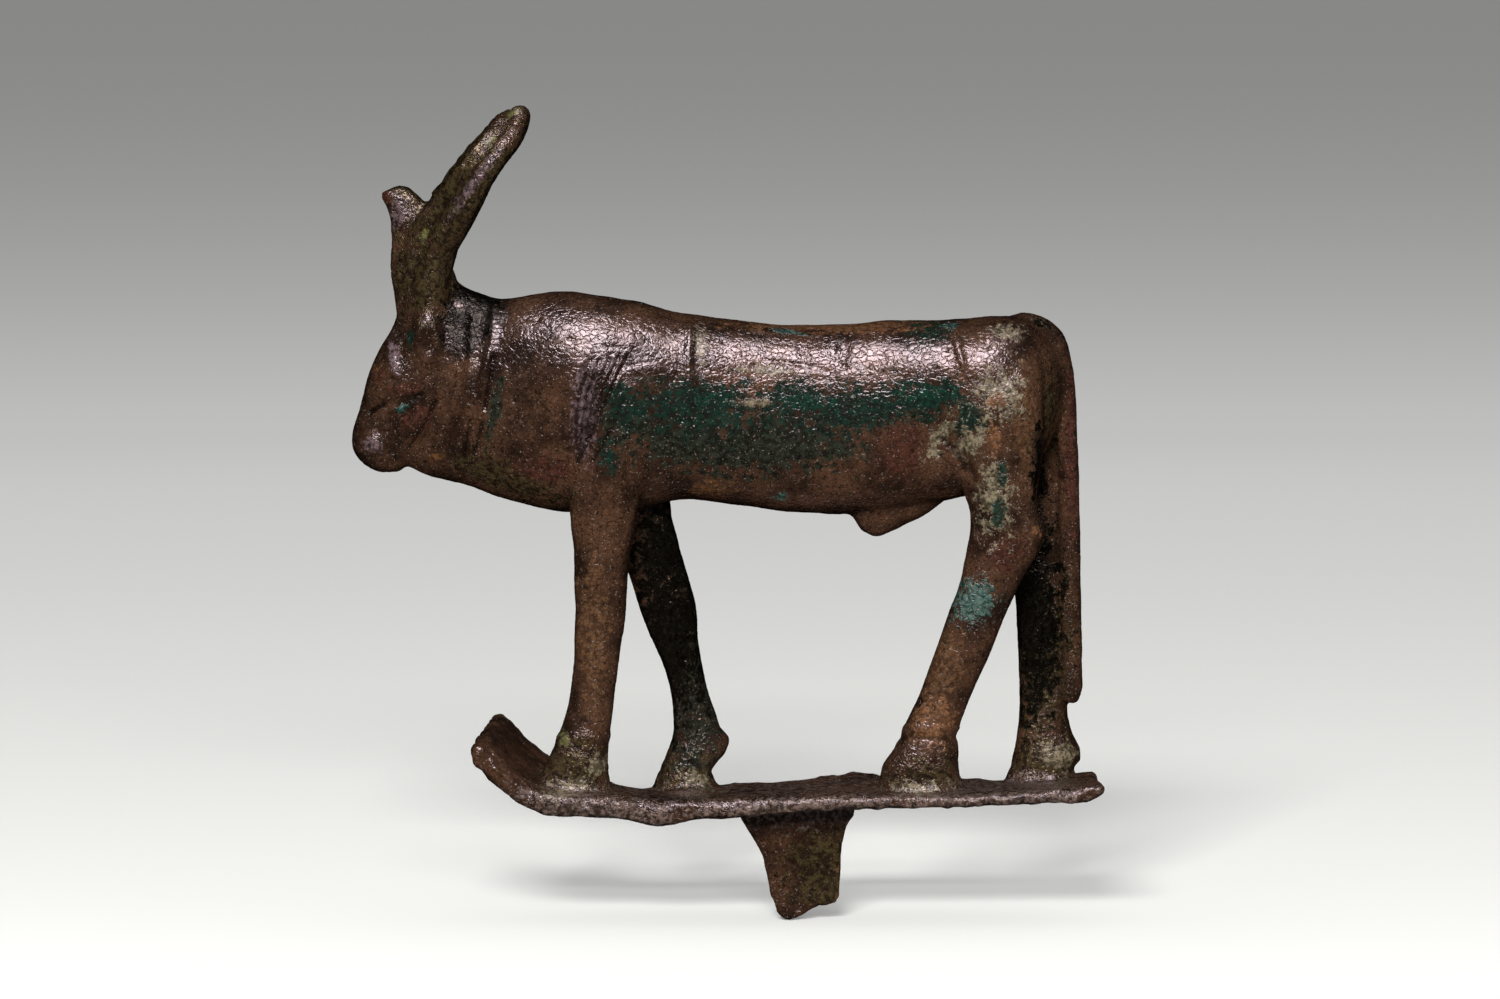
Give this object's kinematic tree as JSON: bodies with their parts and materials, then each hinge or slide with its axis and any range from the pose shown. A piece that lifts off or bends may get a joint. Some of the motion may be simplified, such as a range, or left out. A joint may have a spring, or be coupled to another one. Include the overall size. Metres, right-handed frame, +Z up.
{
  "type": "apis bull figure",
  "caption": "Small cast bronze figure of a striding Apis bull with sun disc, horns and cobra, on a warped base plate with a broken tang below.",
  "frame": {"origin": "middle of the tang's root, at the underside of the base plate", "axes": "+Z up, -X the way the bull faces, -Y its left side"},
  "size_m": [0.0824, 0.0208, 0.0897],
  "materials": {
    "bronze": "dark reddish-brown patinated bronze, half gloss, with green and grey corrosion"
  },
  "bodies": {
    "root": {"apis_bull": "bronze"}
  },
  "joints": []
}
